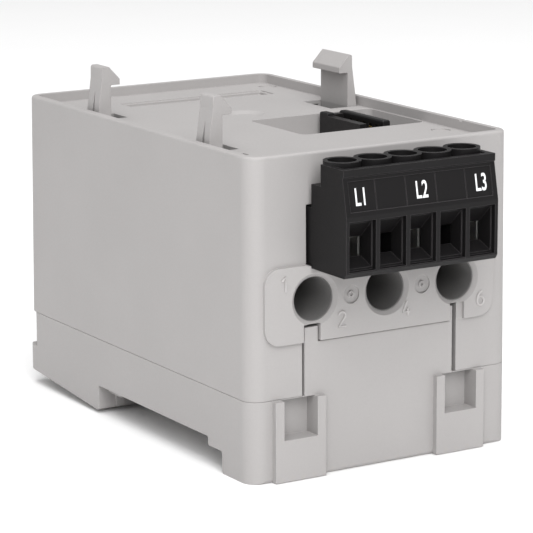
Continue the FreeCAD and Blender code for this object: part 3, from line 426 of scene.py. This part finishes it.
def all_materials():
    """One material for each slot of the record, and those of the tubes and figures."""
    chip_low, chip_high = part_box("controller_chip")
    materials = {name: moulded_plastic(name, **look) for name, look in PLASTICS.items()}
    materials.update({name: worked_metal(name, **look) for name, look in METALS.items()})
    materials["board_green"] = circuit_board("board_green")
    materials["chip_black"] = leaded_package("chip_black", chip_low + CHIP_LEAD, chip_high - CHIP_LEAD)
    materials["winding_copper"] = enamelled_winding("winding_copper", COPPER)
    return materials


def paint(obj, material):
    obj.data.materials.clear()
    obj.data.materials.append(material)


# ---- Objects ----
def linked(name, data):
    """A new object of this data, in the scene."""
    obj = bpy.data.objects.new(name, data)
    bpy.context.scene.collection.objects.link(obj)
    return obj


def as_mesh(obj):
    """The object turned from a curve or text into a mesh of the same name."""
    graph = bpy.context.evaluated_depsgraph_get()
    mesh = bpy.data.meshes.new_from_object(obj.evaluated_get(graph))
    name = obj.name
    slot_name = obj["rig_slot"]
    world = obj.matrix_world.copy()
    bpy.data.objects.remove(obj)
    solid = linked(name, mesh)
    solid.matrix_world = world
    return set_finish(solid, slot_name)


def drawn_wire(name, strokes, radius, material, slot_name):
    """Round-section strokes through lists of points, as one mesh."""
    curve = bpy.data.curves.new(name, "CURVE")
    curve.dimensions = "3D"
    curve.bevel_depth = radius
    curve.bevel_resolution = 3
    curve.use_fill_caps = True
    for stroke in strokes:
        spline = curve.splines.new("POLY")
        spline.points.add(len(stroke) - 1)
        for point, spot in zip(spline.points, stroke):
            point.co = (*spot, 1.0)
    curve.materials.append(material)
    obj = linked(name, curve)
    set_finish(obj, slot_name)
    return as_mesh(obj)


def arc(x, y, radius_x, radius_y, start, end, steps=14):
    """Points along an ellipse in a plane, with angles in degrees anticlockwise from the first axis."""
    points = []
    for i in range(steps + 1):
        angle = math.radians(start + (end - start) * i / steps)
        points.append((x + radius_x * math.cos(angle), y + radius_y * math.sin(angle)))
    return points


# ---- Marks ----
# Strokes in a cell one high and about half as wide.
DIGITS = {
    "1": [[(0.08, 0.74), (0.34, 1.0), (0.34, 0.0)]],
    "2": [arc(0.27, 0.74, 0.26, 0.26, 170, -30) + [(0.02, 0.0), (0.56, 0.0)]],
    "4": [[(0.34, 1.0), (0.02, 0.26), (0.56, 0.26)], [(0.42, 0.52), (0.42, 0.0)]],
    "6": [
        arc(0.72, 0.38, 0.70, 0.66, 118, 180) + arc(0.29, 0.30, 0.27, 0.30, 180, 520, 26)
    ],
}


def plate_figures(material):
    """The numbers beside the bores: round-topped strokes standing in the plate's face."""
    face_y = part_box("upper_housing")[0].y - FIGURE_RISE
    middle_u, middle_v = FIGURE_CELL_MIDDLE
    for character, (side, (across, up)) in FIGURE_PLACES.items():
        spot = Vector(MOUNTS["conductor_bore_" + side]["pos_m"]) + Vector((across, 0.0, up)) * MM
        strokes = [
            [
                (spot.x + (u - middle_u) * FIGURE_H, face_y, spot.z + (v - middle_v) * FIGURE_H)
                for u, v in stroke
            ]
            for stroke in DIGITS[character]
        ]
        name = "raised_figure_" + character
        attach(drawn_wire(name, strokes, FIGURE_STROKE_R, material, "housing_grey"), "housing")


def phase_labels(material):
    """Printed phase names on the plug's slanted face, above the wired poles."""
    slope = LABEL_HIGH - LABEL_LOW
    tilt = math.atan2(slope.z, slope.y)
    for number in (1, 2, 3):
        text = bpy.data.curves.new("label", "FONT")
        text.body = "L%d" % number
        text.size = LABEL_H / CAPITAL_SHARE
        text.offset = STROKE_GROWTH
        text.space_character = LABEL_SPACING
        text.align_x = "CENTER"
        text.align_y = "CENTER"
        text.extrude = INK_T
        text.materials.append(material)
        label = linked("phase_label_%d" % number, text)
        label.location = LABEL_LOW + slope * LABEL_RISE
        label.location.x = MOUNTS["wire_entry_%d" % number]["pos_m"][0] + LABEL_SHIFT
        label.rotation_euler = (tilt, 0.0, 0.0)
        label.scale = (LABEL_NARROWING, 1.0, 1.0)
        bpy.context.view_layer.update()
        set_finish(label, "terminal_black")
        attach(as_mesh(label), "terminal_plug")


# ---- Rail clip spring ----
def clip_spring(material):
    """The zigzag wire spring behind the rail clip, drawn at rest; the real spring flattens as the clip
    slides to the front.
    """
    low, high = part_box("rail_clip_spring")
    first = low.y + SPRING_WIRE_R
    pitch = (high.y - low.y - 2 * SPRING_WIRE_R) / (SPRING_LEAVES - 1)
    reach = high.x - SPRING_WIRE_R - pitch / 2
    level = (low.z + high.z) / 2
    points = []
    for leaf in range(SPRING_LEAVES):
        side = -1 if leaf % 2 else 1
        y = first + leaf * pitch
        points += [(-side * reach, y), (side * reach, y)]
        if leaf < SPRING_LEAVES - 1:
            points += arc(side * reach, y + pitch / 2, side * pitch / 2, pitch / 2, -90, 90)
    stroke = [(x, y, level) for x, y in points]
    spring = drawn_wire("rail_clip_spring_wire", [stroke], SPRING_WIRE_R, material, "spring_steel")
    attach(spring, "housing")
    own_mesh(spring)
    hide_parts("rail_clip_spring")


# ---- Studio ----
def around(azimuth, elevation, distance):
    """A point round TARGET; azimuth 0 faces the terminals, and positive angles go to their right."""
    a, e = math.radians(azimuth), math.radians(elevation)
    direction = Vector((math.sin(a) * math.cos(e), -math.cos(a) * math.cos(e), math.sin(e)))
    return TARGET + distance * direction


def aim(obj):
    """Turn a camera or light to look at TARGET."""
    obj.rotation_euler = (TARGET - obj.location).to_track_quat("-Z", "Y").to_euler()


def camera():
    data = bpy.data.cameras.new("camera")
    data.lens = LENS_MM
    data.sensor_width = SENSOR_MM
    data.clip_start = CLIP_NEAR
    data.clip_end = CLIP_FAR
    obj = linked("camera", data)
    obj.location = around(AZIMUTH, ELEVATION, DISTANCE)
    aim(obj)
    obj.rotation_euler.rotate_axis("Z", math.radians(ROLL))
    bpy.context.scene.camera = obj


def area_light(name, azimuth, elevation, distance, size, power):
    data = bpy.data.lights.new(name, "AREA")
    data.shape = "RECTANGLE"
    data.size, data.size_y = size
    data.energy = power
    light = linked(name, data)
    light.location = around(azimuth, elevation, distance)
    aim(light)


def pale_floor():
    z = CAD_BOUNDS[0].z
    corners = [(x * FLOOR_HALF, y * FLOOR_HALF, z) for x, y in ((-1, -1), (1, -1), (1, 1), (-1, 1))]
    mesh = bpy.data.meshes.new("floor")
    mesh.from_pydata(corners, [], [(0, 1, 2, 3)])
    floor = linked("floor", mesh)
    paint(floor, floor_surface("floor_white"))


def studio():
    """A pale floor, an even white surround and three soft boxes."""
    pale_floor()
    world = bpy.data.worlds.new("surround")
    bpy.context.scene.world = world
    world.use_nodes = True
    background = world.node_tree.nodes["Background"].inputs
    background["Color"].default_value = shade(WHITE, 1.0)
    background["Strength"].default_value = SURROUND_STRENGTH
    for name, light in LIGHTS.items():
        area_light(name, **light)
    bpy.context.scene.view_settings.view_transform = "Standard"


def main():
    materials = all_materials()
    for part in RECORD["subparts"]:
        paint(NODES[part["node"]], materials[part["material_slot"]])
    for side in SIDES:
        # The tubes get the darker grey, which paints shade inside the bores.
        paint(NODES["conductor_tube_" + side], materials["tube_shade_grey"])
    # The figures get the lighter grey, a painted highlight on the raised numbers.
    plate_figures(materials["figure_highlight_grey"])
    clip_spring(materials["spring_steel"])
    phase_labels(printed_ink("label_white", INK_WHITE))
    studio()
    camera()


main()
